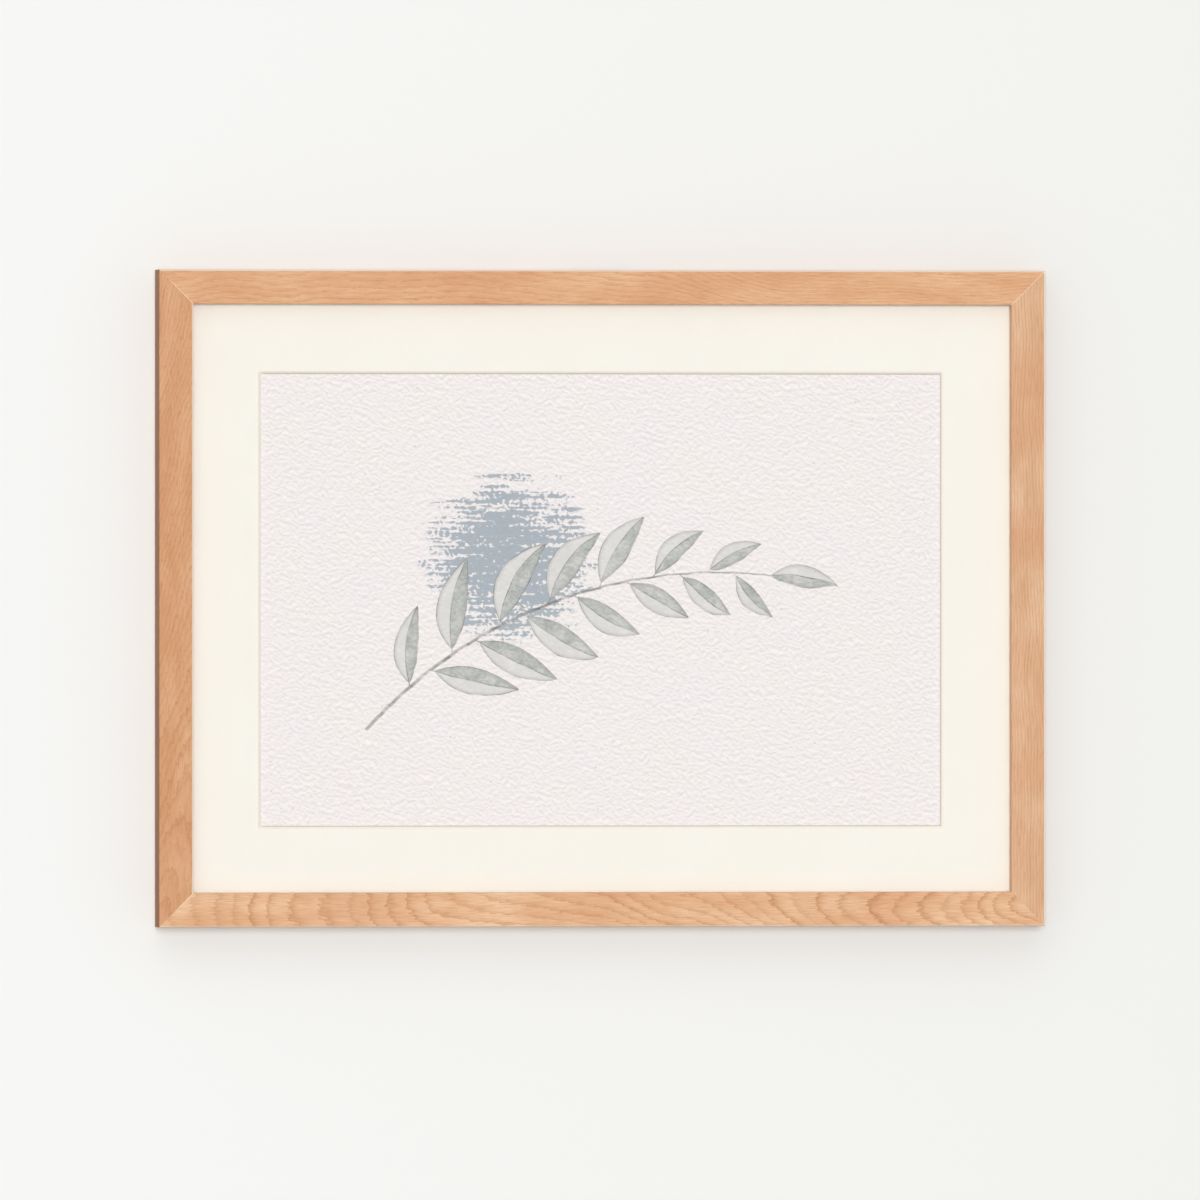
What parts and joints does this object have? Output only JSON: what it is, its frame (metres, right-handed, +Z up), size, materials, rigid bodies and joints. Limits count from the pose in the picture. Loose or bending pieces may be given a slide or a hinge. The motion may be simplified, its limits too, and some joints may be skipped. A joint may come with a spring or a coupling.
{
  "type": "framed picture",
  "caption": "Mitred natural-wood picture frame with glass, an ivory bevelled window mat and a watercolour sheet, hung on the wall by a sawtooth hanger.",
  "frame": {"origin": "the point of the wall plane where the hanger's middle notch sits on its nail", "axes": "+X along the picture's width, to the right as seen from the front; +Z up; the picture faces -Y, with the wall at Y = 0"},
  "size_m": [0.442, 0.023, 0.325],
  "materials": {
    "rail_wood": "satin",
    "picture_glass": "clear",
    "mat_board": "matte",
    "watercolour_paper": "matte, cold-pressed",
    "gummed_tape": "matte",
    "mount_card": "matte",
    "hardboard": "smooth",
    "fastener_steel": "plain",
    "hanger_steel": "zinc plated",
    "bumper_rubber": "matte"
  },
  "bodies": {
    "root": {"top_rail": "rail_wood", "bottom_rail": "rail_wood", "left_rail": "rail_wood", "right_rail": "rail_wood", "joint_nails": "fastener_steel", "glazing": "picture_glass", "window_mat": "mat_board", "art_sheet": "watercolour_paper", "hinge_tape_left": "gummed_tape", "hinge_tape_right": "gummed_tape", "mount_board": "mount_card", "back_board": "hardboard", "retaining_points": "fastener_steel", "sawtooth_hanger": "hanger_steel", "hanger_nails": "hanger_steel", "wall_bumper_left": "bumper_rubber", "wall_bumper_right": "bumper_rubber"}
  },
  "joints": []
}
